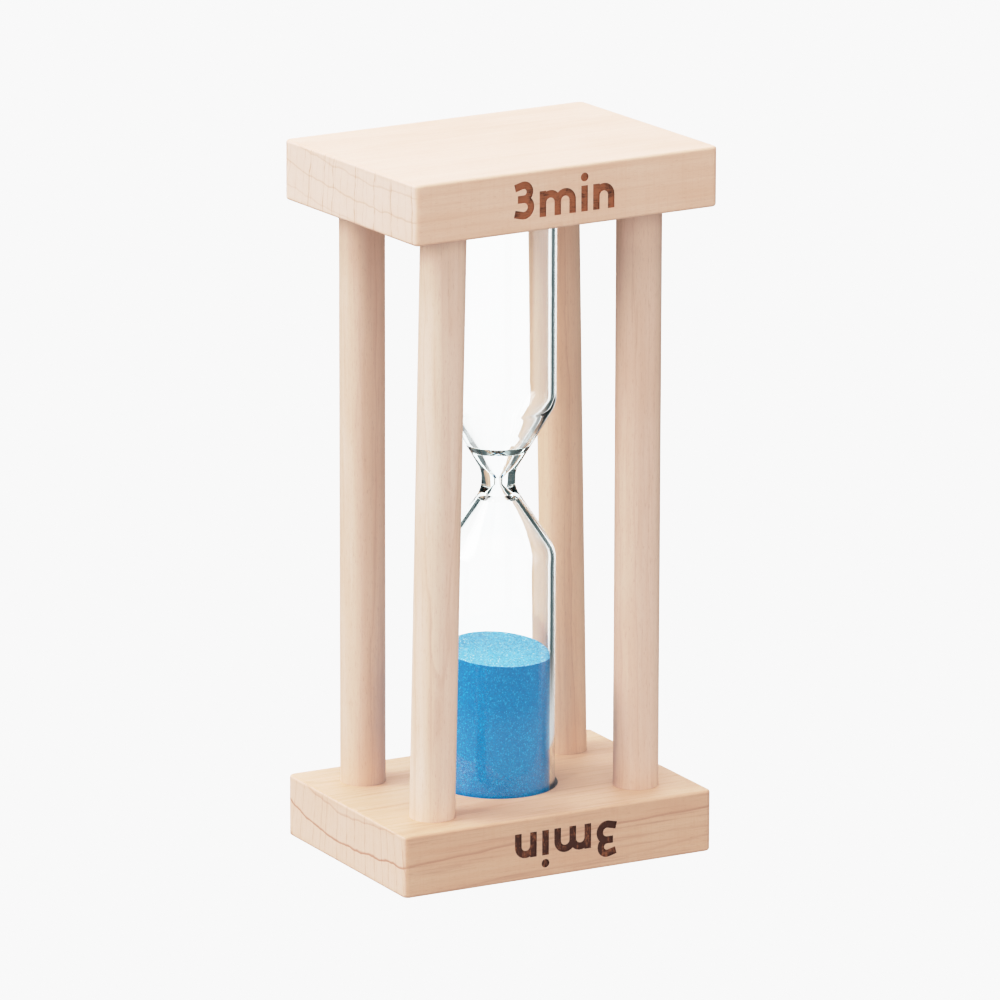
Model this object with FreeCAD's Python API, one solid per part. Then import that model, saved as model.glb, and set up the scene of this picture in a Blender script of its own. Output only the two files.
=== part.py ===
import FreeCAD, Part
import math
import os

# Three-minute sand timer, in millimetres, standing on its lower plate.
# The origin is the centre of the lower plate's outer face; +Z is up, +X runs
# along the plates' long side and -Y is the face that carries the duration mark.
# The frame is two like wooden plates held apart by four glued dowel posts.
# Between them a blown glass stands loose in two round sockets.

# --- driving dimensions ---------------------------------------------------
PLATE_LENGTH = 61.0
PLATE_WIDTH = 44.0
TOP_THICKNESS = 10.6          # the two plates were sanded to slightly different
BOTTOM_THICKNESS = 11.1       # thicknesses
TOTAL_HEIGHT = 126.0
CORNER_RADIUS = 1.2           # upright corners of a plate
EDGE_RADIUS = 0.5             # eased edges all round both faces
ASSEMBLY_TWIST = 3.3          # degrees the upper plate was glued out of square

POST_DIAMETER = 8.0
POST_OFFSET_X = 20.4          # post centres in the drilling pattern's own frame
POST_OFFSET_Y = 12.6
BORE_TURN_BOTTOM = 0.4        # degrees each plate's drilling pattern sits out of
BORE_TURN_TOP = 2.7           # square with its edges
POST_BORE_DEPTH = 7.0
POST_CHAMFER = 0.4

SOCKET_DIAMETER = 21.2
SOCKET_DEPTH = 6.0
SEAT_X = -0.22                # place of both sockets and of the glass's axis, a little
SEAT_Y = 0.22                 # beside the plates' middle
PAD_DIAMETER = 20.6
PAD_THICKNESS = 1.0
PAD_EDGE_RADIUS = 0.25
END_CLEARANCE = 0.1           # between each end of the glass and its pad

GLASS_RADIUS = 10.1
GLASS_WALL = 0.9
GLASS_END_RADIUS = 3.0        # rounding of the closed lower end
NECK_RADIUS = 3.05
NECK_LOW = 64.4               # heights where the cones run into the neck
NECK_HIGH = 67.7
SHOULDER_LOW = 53.6           # heights where the cones meet the straight tube
SHOULDER_HIGH = 79.8
SHOULDER_ROUND = 5.0
NECK_ROUND = 4.0
ORIFICE_RADIUS = 0.5          # the hole that times the sand
ORIFICE_LOW = 65.4
ORIFICE_HIGH = 66.6
FLOOR_RADIUS = 4.3            # where the upper bulb's wall turns in
FLOOR_HEIGHT = 72.8
FLOOR_ROUND = 1.2
THROAT_RADIUS = 3.0           # inner end of that turn, where the throat drops away
THROAT_HEIGHT = 71.6
THROAT_ROUND = 0.6
FUNNEL_RADIUS = 2.1           # where the throat narrows down to the orifice
FUNNEL_HEIGHT = 69.6
FUNNEL_ROUND = 0.5
OUTLET_RADIUS = 1.8           # where the orifice has widened below
OUTLET_HEIGHT = 63.2
HEAD_RADIUS = 3.0             # where the lower bulb's wall turns in
HEAD_HEIGHT = 62.4
HEAD_ROUND = 0.4

BUNG_DEPTH = 3.0
BUNG_RIM = 1.0
BUNG_RIM_ROUND = 0.3

SAND_LEVEL = 35.4             # height of the sand's surface on the axis
SAND_SLOPE = 5.2              # degrees the settled surface slopes
SAND_DOWNHILL = -76.0         # direction it falls towards, from +X

MARK_HEIGHT = 6.6             # height of the burnt duration mark
MARK_LOWER_CASE = 4.5
MARK_STROKE = 1.3
MARK_DEPTH = 0.25
MARK_ARCH = 1.5               # mean radius of the arches of the m and the n
MARK_GAP = 1.1                # clear space between characters
MARK_DIGIT_WIDTH = 3.95
MARK_LOWER_BOW = 0.27         # mean radii of the 3's bows as shares of its height
MARK_UPPER_BOW = 0.23
MARK_DIGIT_DROOP = 14.0       # degrees the 3's ends bend in from level
MARK_TONGUE = 1.2             # length of the 3's middle bar
MARK_DOT_RADIUS = 0.76
MARK_DOT_LIFT = 0.15          # dot's top above the top of the 3
MARK_RISE = 0.35              # mark's centre above the plate's middle
MARK_SHIFT_TOP = -0.9         # sideways place of the mark on each plate
MARK_SHIFT_BOTTOM = 1.2

# --- worked out from them -------------------------------------------------
POST_RADIUS = POST_DIAMETER / 2
SOCKET_FLOOR_LOW = BOTTOM_THICKNESS - SOCKET_DEPTH
SOCKET_FLOOR_HIGH = TOTAL_HEIGHT - TOP_THICKNESS + SOCKET_DEPTH
GLASS_BOTTOM = SOCKET_FLOOR_LOW + PAD_THICKNESS + END_CLEARANCE
BUNG_TOP = SOCKET_FLOOR_HIGH - PAD_THICKNESS - END_CLEARANCE
GLASS_TOP = BUNG_TOP - BUNG_RIM
BORE_RADIUS = GLASS_RADIUS - GLASS_WALL

ORIGIN = FreeCAD.Vector(0, 0, 0)
X_AXIS = FreeCAD.Vector(1, 0, 0)
Y_AXIS = FreeCAD.Vector(0, 1, 0)
Z_AXIS = FreeCAD.Vector(0, 0, 1)
SEAT = FreeCAD.Vector(SEAT_X, SEAT_Y, 0)


# --- helpers ----------------------------------------------------------------
def rounded_path(corners):
    """Edges through (radius, height, rounding) corners in the XZ plane, each
    inner corner rounded by a tangent arc."""
    points = [FreeCAD.Vector(radius, 0, height) for radius, height, _ in corners]
    edges = []
    start = points[0]
    for before, corner, after, spec in zip(points, points[1:], points[2:], corners[1:]):
        to_before = (before - corner).normalize()
        to_after = (after - corner).normalize()
        half_angle = to_before.getAngle(to_after) / 2
        rounding = spec[2]
        reach = rounding / math.tan(half_angle)
        arc_start = corner + to_before * reach
        arc_end = corner + to_after * reach
        edges.append(Part.LineSegment(start, arc_start).toShape())
        if rounding:
            bisector = (to_before + to_after).normalize()
            to_arc = rounding / math.sin(half_angle) - rounding
            middle = corner + bisector * to_arc
            edges.append(Part.Arc(arc_start, middle, arc_end).toShape())
        start = arc_end
    edges.append(Part.LineSegment(start, points[-1]).toShape())
    return edges


def turned(corners):
    """Solid of revolution about the glass's axis from a path that starts and ends on it."""
    edges = rounded_path(corners)
    first = edges[0].Vertexes[0].Point
    last = edges[-1].Vertexes[-1].Point
    edges.append(Part.LineSegment(last, first).toShape())
    profile = Part.Face(Part.Wire(edges))
    solid = profile.revolve(ORIGIN, Z_AXIS, 360)
    solid.translate(SEAT)
    return solid


def turned_point(x, y, degrees):
    """A point of the plan turned about the Z axis."""
    angle = math.radians(degrees)
    return (x * math.cos(angle) - y * math.sin(angle),
            x * math.sin(angle) + y * math.cos(angle))


# --- duration mark ----------------------------------------------------------
def bar(left, bottom, width, height):
    """Straight stroke of the mark, drawn flat in the XY plane."""
    return Part.makeBox(width, height, MARK_DEPTH, FreeCAD.Vector(left, bottom, 0))


def bow(centre_x, centre_y, mean_radius, start_degrees, sweep_degrees):
    """Curved stroke of the mark: part of a flat ring."""
    half = MARK_STROKE / 2
    centre = FreeCAD.Vector(centre_x, centre_y, 0)
    outer = Part.makeCylinder(mean_radius + half, MARK_DEPTH, centre, Z_AXIS, sweep_degrees)
    inner = Part.makeCylinder(mean_radius - half, MARK_DEPTH, centre, Z_AXIS, sweep_degrees)
    ring = outer.cut(inner)
    ring.rotate(centre, Z_AXIS, start_degrees)
    return ring


def digit_bow(centre_x, centre_y, radius, bar_length, side):
    """Half of the 3: its bow (side 1 the upper, -1 the lower) and the straight end
    that runs on from the bow to the left."""
    end = bar(centre_x - bar_length, centre_y + side * radius - MARK_STROKE / 2,
              bar_length, MARK_STROKE)
    end.rotate(FreeCAD.Vector(centre_x, centre_y, 0), Z_AXIS, side * MARK_DIGIT_DROOP)
    start = -90 if side > 0 else -90 - MARK_DIGIT_DROOP
    return [bow(centre_x, centre_y, radius, start, 180 + MARK_DIGIT_DROOP), end]


def digit_three(left):
    """The figure 3 from two bows and a short middle bar; returns strokes and width."""
    half = MARK_STROKE / 2
    total = MARK_HEIGHT - MARK_STROKE
    lower_radius = total * MARK_LOWER_BOW
    upper_radius = total * MARK_UPPER_BOW
    middle = half + 2 * lower_radius
    right = left + MARK_DIGIT_WIDTH
    lower_x = right - half - lower_radius
    end_length = lower_x - left - lower_radius * math.sin(math.radians(MARK_DIGIT_DROOP))
    tongue = bar(lower_x - MARK_TONGUE, middle - half, MARK_TONGUE, MARK_STROKE)
    strokes = digit_bow(lower_x, middle - lower_radius, lower_radius, end_length, -1)
    strokes += digit_bow(lower_x, middle + upper_radius, upper_radius, end_length, 1)
    return strokes + [tongue], MARK_DIGIT_WIDTH


def arched_letter(left, arches):
    """An n (one arch) or an m (two arches); returns strokes and width."""
    strokes = [bar(left, 0, MARK_STROKE, MARK_LOWER_CASE)]
    spring = MARK_LOWER_CASE - MARK_STROKE / 2 - MARK_ARCH
    for index in range(arches):
        stem_left = left + 2 * MARK_ARCH * (index + 1)
        centre_x = stem_left - MARK_ARCH + MARK_STROKE / 2
        strokes.append(bow(centre_x, spring, MARK_ARCH, 0, 180))
        strokes.append(bar(stem_left, 0, MARK_STROKE, spring))
    return strokes, 2 * MARK_ARCH * arches + MARK_STROKE


def dotted_stem(left):
    """The letter i; returns strokes and width."""
    dot_height = MARK_HEIGHT + MARK_DOT_LIFT - MARK_DOT_RADIUS
    centre = FreeCAD.Vector(left + MARK_STROKE / 2, dot_height, 0)
    dot = Part.makeCylinder(MARK_DOT_RADIUS, MARK_DEPTH, centre, Z_AXIS)
    return [bar(left, 0, MARK_STROKE, MARK_LOWER_CASE), dot], MARK_STROKE


def duration_mark():
    """The strokes of "3min", centred on the origin and upright in the XZ plane,
    reaching MARK_DEPTH towards -Y."""
    strokes = []
    left = 0.0
    for draw in (digit_three,
                 lambda x: arched_letter(x, 2),
                 dotted_stem,
                 lambda x: arched_letter(x, 1)):
        character, width = draw(left)
        strokes += character
        left += width + MARK_GAP
    mark = strokes[0].multiFuse(strokes[1:])
    total_width = left - MARK_GAP
    mark.translate(FreeCAD.Vector(-total_width / 2, -MARK_HEIGHT / 2, 0))
    mark.rotate(ORIGIN, X_AXIS, 90)
    return mark


# --- wooden frame -----------------------------------------------------------
def post_axis(side_x, side_y):
    """Lower end and upper end of one post's centre line. Both plates have the same
    drilling pattern, each turned its own way, so the posts lean."""
    spot = (side_x * POST_OFFSET_X, side_y * POST_OFFSET_Y)
    low_x, low_y = turned_point(*spot, BORE_TURN_BOTTOM)
    high_x, high_y = turned_point(*spot, ASSEMBLY_TWIST + BORE_TURN_TOP)
    low_floor = BOTTOM_THICKNESS - POST_BORE_DEPTH
    high_floor = TOTAL_HEIGHT - TOP_THICKNESS + POST_BORE_DEPTH
    return FreeCAD.Vector(low_x, low_y, low_floor), FreeCAD.Vector(high_x, high_y, high_floor)


def post_rod(side_x, side_y):
    """Plain rod on a post's centre line, which also cuts its two blind bores."""
    low, high = post_axis(side_x, side_y)
    return Part.makeCylinder(POST_RADIUS, (high - low).Length, low, high - low)


def post(side_x, side_y):
    """One dowel post with both ends lightly chamfered."""
    rod = post_rod(side_x, side_y)
    rims = [edge for edge in rod.Edges if isinstance(edge.Curve, Part.Circle)]
    return rod.makeChamfer(POST_CHAMFER, rims)


def plate(thickness, mark_shift):
    """One undrilled plate as it lies on top: outer face at TOTAL_HEIGHT, duration mark
    burnt into the -Y face."""
    underside = TOTAL_HEIGHT - thickness
    corner = FreeCAD.Vector(-PLATE_LENGTH / 2, -PLATE_WIDTH / 2, underside)
    board = Part.makeBox(PLATE_LENGTH, PLATE_WIDTH, thickness, corner)
    uprights = [edge for edge in board.Edges
                if abs(edge.tangentAt(edge.FirstParameter).dot(Z_AXIS)) > 0.9]
    board = board.makeFillet(CORNER_RADIUS, uprights)
    level = [edge for edge in board.Edges
             if abs(edge.tangentAt(edge.FirstParameter).dot(Z_AXIS)) < 0.1]
    board = board.makeFillet(EDGE_RADIUS, level)
    mark = duration_mark()
    mark.translate(FreeCAD.Vector(mark_shift, MARK_DEPTH - PLATE_WIDTH / 2,
                                  TOTAL_HEIGHT - thickness / 2 + MARK_RISE))
    return board.cut(mark)


def drilled(board, socket_end):
    """The plate with its socket, given the height of the socket's lower end, and the
    blind bores of the four posts."""
    socket = Part.makeCylinder(SOCKET_DIAMETER / 2, SOCKET_DEPTH,
                               SEAT + FreeCAD.Vector(0, 0, socket_end))
    board = board.cut(socket)
    for side_x in (-1, 1):
        for side_y in (-1, 1):
            board = board.cut(post_rod(side_x, side_y))
    return board


def top_plate():
    """Upper plate, turned by the assembly's twist."""
    board = plate(TOP_THICKNESS, MARK_SHIFT_TOP)
    board.rotate(ORIGIN, Z_AXIS, ASSEMBLY_TWIST)
    return drilled(board, TOTAL_HEIGHT - TOP_THICKNESS)


def bottom_plate():
    """Lower plate: a like plate turned upside down about the Y direction."""
    board = plate(BOTTOM_THICKNESS, -MARK_SHIFT_BOTTOM)
    board.rotate(FreeCAD.Vector(0, 0, TOTAL_HEIGHT / 2), Y_AXIS, 180)
    return drilled(board, SOCKET_FLOOR_LOW)


def socket_pad(underside):
    """Thin foam disc on a socket's floor that the glass end rests against."""
    radius = PAD_DIAMETER / 2
    top = underside + PAD_THICKNESS
    return turned([(0, underside, 0), (radius, underside, PAD_EDGE_RADIUS),
                   (radius, top, PAD_EDGE_RADIUS), (0, top, 0)])


# --- glass and what is in it --------------------------------------------------
def outer_form():
    """The glass's outside as a full solid: tube, cone, neck, cone, tube."""
    return turned([
        (0, GLASS_BOTTOM, 0),
        (GLASS_RADIUS, GLASS_BOTTOM, GLASS_END_RADIUS),
        (GLASS_RADIUS, SHOULDER_LOW, SHOULDER_ROUND),
        (NECK_RADIUS, NECK_LOW, NECK_ROUND),
        (NECK_RADIUS, NECK_HIGH, NECK_ROUND),
        (GLASS_RADIUS, SHOULDER_HIGH, SHOULDER_ROUND),
        (GLASS_RADIUS, GLASS_TOP, 0),
        (0, GLASS_TOP, 0)])


def inner_form():
    """The space inside the glass: two bulbs joined by the timing orifice."""
    wall_shift = GLASS_WALL / 2
    return turned([
        (0, GLASS_BOTTOM + GLASS_WALL, 0),
        (BORE_RADIUS, GLASS_BOTTOM + GLASS_WALL, GLASS_END_RADIUS - GLASS_WALL),
        (BORE_RADIUS, SHOULDER_LOW - wall_shift, SHOULDER_ROUND - GLASS_WALL),
        (HEAD_RADIUS, HEAD_HEIGHT, HEAD_ROUND),
        (OUTLET_RADIUS, OUTLET_HEIGHT, HEAD_ROUND),
        (ORIFICE_RADIUS, ORIFICE_LOW, ORIFICE_RADIUS),
        (ORIFICE_RADIUS, ORIFICE_HIGH, ORIFICE_RADIUS),
        (FUNNEL_RADIUS, FUNNEL_HEIGHT, FUNNEL_ROUND),
        (THROAT_RADIUS, THROAT_HEIGHT, THROAT_ROUND),
        (FLOOR_RADIUS, FLOOR_HEIGHT, FLOOR_ROUND),
        (BORE_RADIUS, SHOULDER_HIGH + wall_shift, SHOULDER_ROUND - GLASS_WALL),
        (BORE_RADIUS, GLASS_TOP, 0),
        (0, GLASS_TOP, 0)])


def glass_vessel():
    """Blown glass, closed at the bottom and open at the top, where it was filled."""
    return outer_form().cut(inner_form())


def filling_bung():
    """Stepped stopper that closes the glass after filling, hidden in the socket."""
    return turned([
        (0, GLASS_TOP - BUNG_DEPTH, 0),
        (BORE_RADIUS, GLASS_TOP - BUNG_DEPTH, BUNG_RIM_ROUND),
        (BORE_RADIUS, GLASS_TOP, 0),
        (GLASS_RADIUS, GLASS_TOP, 0),
        (GLASS_RADIUS, BUNG_TOP, BUNG_RIM_ROUND),
        (0, BUNG_TOP, 0)])


def sand():
    """The sand, all run down: it fills the lower bulb up to a sloping surface."""
    size = 4 * GLASS_RADIUS
    middle = SEAT + FreeCAD.Vector(0, 0, SAND_LEVEL)
    above = Part.makeBox(size, size, size, middle - FreeCAD.Vector(size / 2, size / 2, 0))
    slope_axis = FreeCAD.Vector(*turned_point(1, 0, SAND_DOWNHILL + 90), 0)
    above.rotate(middle, slope_axis, SAND_SLOPE)
    lower_bulb = inner_form().common(Part.makeCylinder(GLASS_RADIUS, SHOULDER_LOW, SEAT))
    return lower_bulb.cut(above)


# --- all sub-parts --------------------------------------------------------------
def sub_parts():
    """Every piece of the timer by name."""
    pieces = {
        "bottom_plate": bottom_plate(),
        "top_plate": top_plate(),
        "lower_pad": socket_pad(SOCKET_FLOOR_LOW),
        "upper_pad": socket_pad(SOCKET_FLOOR_HIGH - PAD_THICKNESS),
        "glass_vessel": glass_vessel(),
        "filling_bung": filling_bung(),
        "sand": sand(),
    }
    for depth_name, side_y in (("front", -1), ("rear", 1)):
        for side_name, side_x in (("left", -1), ("right", 1)):
            pieces["post_%s_%s" % (depth_name, side_name)] = post(side_x, side_y)
    return pieces


os.makedirs("parts", exist_ok=True)
for name, shape in sub_parts().items():
    shape.exportStep(os.path.join("parts", name + ".step"))
    box = shape.BoundBox
    print("%-17s solids %d valid %s volume %9.2f  x %7.2f %7.2f  y %7.2f %7.2f  z %7.2f %7.2f"
          % (name, len(shape.Solids), shape.isValid(), shape.Volume,
             box.XMin, box.XMax, box.YMin, box.YMax, box.ZMin, box.ZMax))
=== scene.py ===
import math

import bmesh
import bpy
from mathutils import Euler, Matrix, Vector, noise


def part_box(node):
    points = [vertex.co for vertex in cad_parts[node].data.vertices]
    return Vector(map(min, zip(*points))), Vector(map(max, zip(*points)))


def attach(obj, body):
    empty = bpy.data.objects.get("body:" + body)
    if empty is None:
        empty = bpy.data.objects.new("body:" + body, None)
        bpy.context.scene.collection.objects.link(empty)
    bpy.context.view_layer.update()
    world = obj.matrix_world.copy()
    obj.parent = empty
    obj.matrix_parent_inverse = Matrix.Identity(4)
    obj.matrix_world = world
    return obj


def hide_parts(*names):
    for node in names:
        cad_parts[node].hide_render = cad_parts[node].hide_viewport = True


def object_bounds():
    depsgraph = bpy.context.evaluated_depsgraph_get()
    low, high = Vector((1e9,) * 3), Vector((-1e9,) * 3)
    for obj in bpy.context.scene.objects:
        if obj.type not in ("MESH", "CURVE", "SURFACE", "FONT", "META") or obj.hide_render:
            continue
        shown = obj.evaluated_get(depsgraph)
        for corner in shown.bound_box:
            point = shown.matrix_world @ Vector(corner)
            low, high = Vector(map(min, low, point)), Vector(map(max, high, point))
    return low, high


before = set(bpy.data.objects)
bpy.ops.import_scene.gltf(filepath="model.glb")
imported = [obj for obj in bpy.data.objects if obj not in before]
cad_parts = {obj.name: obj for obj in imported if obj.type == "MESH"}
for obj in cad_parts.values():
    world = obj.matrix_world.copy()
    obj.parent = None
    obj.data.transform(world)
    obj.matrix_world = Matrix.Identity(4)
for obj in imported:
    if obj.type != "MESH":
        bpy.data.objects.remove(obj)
CAD_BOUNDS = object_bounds()

bl_info = {
    "name": "Sand Timer Finish",
    "version": (1, 0, 0),
    "blender": (4, 5, 0),
    "location": "3D View > Sidebar > Sand Timer",
    "description": "Timber, burnt marks, blown glass, dyed sand and the stage for the sand timer",
    "category": "Object",
}

MM = 0.001
# Strength of the white sweep behind the set: as a sight, as a light on matt pieces, and
# straight through both walls of the glass.
SWEEP, SWEEP_ON_MATT, SEEN_THROUGH = 0.50, 0.26, 0.47
# Soft shoulder of the display: scene light in, shown light out.
DISPLAY_CURVE = ((0.0, 0.0), (0.03, 0.137), (0.0675, 0.305), (0.115, 0.51), (0.18, 0.71),
                 (0.255, 0.825), (0.4, 0.939), (0.625, 0.985), (1.0, 1.0))


# --- sizes read from the frame ---
def post_line(node):
    """Centres of a post's two ends, from the rims of the frame's own post."""
    heights = [v.co.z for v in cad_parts[node].data.vertices]
    low, high = min(heights), max(heights)
    rim = 0.15 * MM
    ends = []
    for level in (low, high):
        ring = [v.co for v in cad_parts[node].data.vertices if abs(v.co.z - level) < rim]
        ends.append(sum(ring, Vector()) / len(ring))
    return ends


def plate_turn(node):
    """Angle in radians by which a plate is turned about Z, from its long upright faces."""
    long_face = max((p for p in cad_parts[node].data.polygons
                     if abs(p.normal.z) < 0.01 and p.normal.y > 0.9), key=lambda p: p.area)
    return math.atan2(-long_face.normal.x, long_face.normal.y)


GLASS_LOW, GLASS_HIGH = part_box("glass_vessel")
GLASS_RADIUS = (GLASS_HIGH.x - GLASS_LOW.x) / 2
GLASS_AXIS = (GLASS_LOW + GLASS_HIGH) / 2
SAND_LOW, SAND_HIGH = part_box("sand")
PLATE_LOW, PLATE_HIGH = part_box("bottom_plate")
TWIST = plate_turn("top_plate")
HALF_LENGTH = (PLATE_HIGH.x - PLATE_LOW.x) / 2
HALF_WIDTH = (PLATE_HIGH.y - PLATE_LOW.y) / 2
TIMER_MIDDLE = Vector((0.0, 0.0, (CAD_BOUNDS[0][2] + CAD_BOUNDS[1][2]) / 2))


# --- settings ---
def colour(label, about, value):
    """A colour setting in scene-linear values."""
    return bpy.props.FloatVectorProperty(name=label, description=about, subtype="COLOR",
                                         size=3, min=0.0, max=1.0, default=value)


def length(label, about, value):
    """A length setting in metres."""
    return bpy.props.FloatProperty(name=label, description=about, unit="LENGTH",
                                   subtype="DISTANCE", default=value)


def angle(label, about, degrees):
    """An angle setting, given in degrees."""
    return bpy.props.FloatProperty(name=label, description=about, subtype="ANGLE",
                                   default=math.radians(degrees))


class TimberSettings(bpy.types.PropertyGroup):
    """Colours of the wooden plates and posts."""
    pale: colour("Early wood", "Pale wood between two growth rings", (0.83, 0.60, 0.455))
    tan: colour("Late wood", "Darker wood towards a growth ring", (0.72, 0.44, 0.31))
    dowel_pale: colour("Dowel early wood", "Paler wood of the posts", (0.83, 0.63, 0.515))
    dowel_tan: colour("Dowel late wood", "Darker wood of the posts", (0.73, 0.49, 0.375))
    line: colour("Ring line", "Thin line that ends each growth ring", (0.42, 0.20, 0.13))
    end: colour("End grain", "Sawn and sanded ends of the plates", (0.84, 0.63, 0.52))
    scorch: colour("Scorch", "Darkest wood in the burnt mark", (0.055, 0.018, 0.012))
    toast: colour("Toast", "Lightest wood in the burnt mark", (0.37, 0.12, 0.055))


class GlassSettings(bpy.types.PropertyGroup):
    """Sizes of the blown glass that the frame's own box doesn't give."""
    wall: length("Wall", "Thickness of the tube's wall", 0.9 * MM)
    end_round: length("End rounding", "Outside rounding of the closed end", 3.0 * MM)
    neck_radius: length("Neck radius", "Outside radius of the neck", 3.05 * MM)
    neck_low: length("Neck foot", "Height where the lower cone meets the neck", 64.4 * MM)
    neck_high: length("Neck head", "Height where the upper cone meets the neck", 67.7 * MM)
    shoulder_low: length("Lower shoulder", "Height where the lower cone meets the tube", 53.6 * MM)
    shoulder_high: length("Upper shoulder", "Height where the upper cone meets the tube", 79.8 * MM)
    shoulder_round: length("Shoulder rounding", "Outside rounding of both shoulders", 5.0 * MM)
    neck_round: length("Neck rounding", "Outside rounding at both ends of the neck", 4.0 * MM)
    orifice: length("Orifice radius", "Radius of the hole that times the sand", 0.5 * MM)
    orifice_low: length("Orifice foot", "Lower end of the orifice", 65.4 * MM)
    orifice_high: length("Orifice head", "Upper end of the orifice", 66.6 * MM)
    floor_radius: length("Floor radius", "Radius where the upper bulb turns in", 4.3 * MM)
    floor: length("Floor", "Height where the upper bulb turns in", 72.8 * MM)
    floor_round: length("Floor rounding", "Rounding of the upper bulb's floor", 1.2 * MM)
    throat_radius: length("Throat radius", "Radius where the throat drops away", 3.0 * MM)
    throat: length("Throat", "Height where the throat drops away", 71.6 * MM)
    throat_round: length("Throat rounding", "Rounding of the throat's mouth", 0.6 * MM)
    funnel_radius: length("Funnel radius", "Radius where the throat narrows", 2.1 * MM)
    funnel: length("Funnel", "Height where the throat narrows", 69.6 * MM)
    funnel_round: length("Funnel rounding", "Rounding where the throat narrows", 0.5 * MM)
    outlet_radius: length("Outlet radius", "Radius of the outlet under the orifice", 1.8 * MM)
    outlet: length("Outlet", "Height of the outlet under the orifice", 63.2 * MM)
    head_radius: length("Head radius", "Radius where the lower bulb turns in", 3.0 * MM)
    head: length("Head", "Height where the lower bulb turns in", 62.4 * MM)
    head_round: length("Head rounding", "Rounding of the lower bulb's head", 0.4 * MM)
    tint: colour("Edge tint", "Colour that long ways through the glass take on", (0.55, 0.88, 0.86))
    tint_density: bpy.props.FloatProperty(
        name="Tint density", description="How fast the glass takes on its tint, per metre",
        min=0.0, default=45.0)


class SandSettings(bpy.types.PropertyGroup):
    """The settled sand in the lower bulb."""
    level: length("Level", "Height of the sand's surface on the axis", 35.4 * MM)
    slope: angle("Slope", "Slope of the settled surface", 5.2)
    downhill: angle("Downhill", "Direction the surface falls towards, from +X", -76.0)
    grain: length("Grain", "Size of one grain", 0.18 * MM)
    dye: colour("Dye", "Colour of the dyed grains", (0.0, 0.15, 0.42))
    # Painted light: the sand's upward free surface is painted in this paler colour.
    lit_top: colour("Painted top light", "Paler colour painted on the free surface as light from above", (0.20, 0.60, 1.0))
    # Painted glint: colour of the glints painted on single grains, whiter where they face up.
    painted_glint: colour("Painted glint", "Colour of glints painted on single grains", (0.03, 0.52, 0.92))
    bright: colour("Bright grains", "Colour of the palest grains", (0.0, 0.32, 0.66))


class StageSettings(bpy.types.PropertyGroup):
    """Camera, lights and backdrop."""
    backdrop: bpy.props.FloatProperty(name="Backdrop", min=0.0, default=0.4,
                                      description="Brightness of the plain backdrop and floor")
    azimuth: angle("Camera azimuth", "Direction the camera looks from", -28.66)
    elevation: angle("Camera elevation", "Height angle the camera looks from", 14.647)
    tilt: angle("Camera tilt", "How far the camera points below level", 14.673)
    roll: angle("Camera roll", "Turn of the camera about its own line of sight", 0.155)
    distance: length("Camera distance", "From the camera to the timer's middle", 1.5)
    lens: bpy.props.FloatProperty(name="Lens", description="Focal length in millimetres",
                                  min=1.0, default=309.9)


class TimerSettings(bpy.types.PropertyGroup):
    """All settings of the sand timer."""
    timber: bpy.props.PointerProperty(type=TimberSettings)
    glass: bpy.props.PointerProperty(type=GlassSettings)
    sand: bpy.props.PointerProperty(type=SandSettings)
    stage: bpy.props.PointerProperty(type=StageSettings)


# --- node wiring ---
class Bench:
    """Adds nodes to one node tree and wires them together."""

    def __init__(self, tree):
        self.tree = tree

    def add(self, kind, inputs=(), **settings):
        """New node with its settings made and its inputs set or linked."""
        node = self.tree.nodes.new(kind)
        for name, value in settings.items():
            setattr(node, name, value)
        for name, value in dict(inputs).items():
            self.feed(node.inputs[name], value)
        return node

    def feed(self, socket, value):
        """Links a socket to an input, or sets the input to a plain value."""
        if isinstance(value, bpy.types.NodeSocket):
            self.tree.links.new(value, socket)
        else:
            socket.default_value = value

    def math(self, operation, *values):
        return self.add("ShaderNodeMath", enumerate(values), operation=operation).outputs[0]

    def vector(self, operation, *values):
        node = self.add("ShaderNodeVectorMath", enumerate(values), operation=operation)
        return node.outputs["Value" if operation in ("DOT_PRODUCT", "LENGTH") else "Vector"]

    def blend(self, factor, first, second, mode="MIX"):
        """Mixes two colours."""
        node = self.add("ShaderNodeMix", {0: factor, 6: first, 7: second},
                        data_type="RGBA", blend_type=mode)
        return node.outputs[2]

    def ramp(self, value, low, high, start=0.0, end=1.0):
        """Smooth step of a value from low to high."""
        node = self.add("ShaderNodeMapRange", {0: value, 1: low, 2: high, 3: start, 4: end},
                        interpolation_type="SMOOTHSTEP")
        return node.outputs[0]

    def noise(self, place, stretch, detail=2.0, roughness=0.5):
        """Smooth noise around 0.5, with its own scale along each axis."""
        scaled = self.vector("MULTIPLY", place, stretch)
        node = self.add("ShaderNodeTexNoise",
                        {"Vector": scaled, "Scale": 1.0, "Detail": detail, "Roughness": roughness})
        return node.outputs["Fac"]

    def split(self, vector):
        return self.add("ShaderNodeSeparateXYZ", {0: vector}).outputs

    def join(self, x, y, z):
        return self.add("ShaderNodeCombineXYZ", {0: x, 1: y, 2: z}).outputs[0]

    def group(self, tree, **inputs):
        """Node of a group, with underscores in the keywords read as spaces."""
        node = self.add("ShaderNodeGroup", node_tree=tree)
        for name, value in inputs.items():
            self.feed(node.inputs[name.replace("_", " ")], value)
        return node.outputs


FLOAT, VECTOR, COLOUR = "NodeSocketFloat", "NodeSocketVector", "NodeSocketColor"
WHITE = (1.0, 1.0, 1.0, 1.0)


def start_group(name, inputs, outputs):
    """Empty node group with named sockets; returns its bench, inputs and output node."""
    tree = bpy.data.node_groups.new(name, "ShaderNodeTree")
    for label, kind, default in inputs:
        socket = tree.interface.new_socket(label, in_out="INPUT", socket_type=kind)
        socket.default_value = default
    for label, kind in outputs:
        tree.interface.new_socket(label, in_out="OUTPUT", socket_type=kind)
    bench = Bench(tree)
    inside = bench.add("NodeGroupInput").outputs
    result = bench.add("NodeGroupOutput")
    return bench, inside, result


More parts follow.
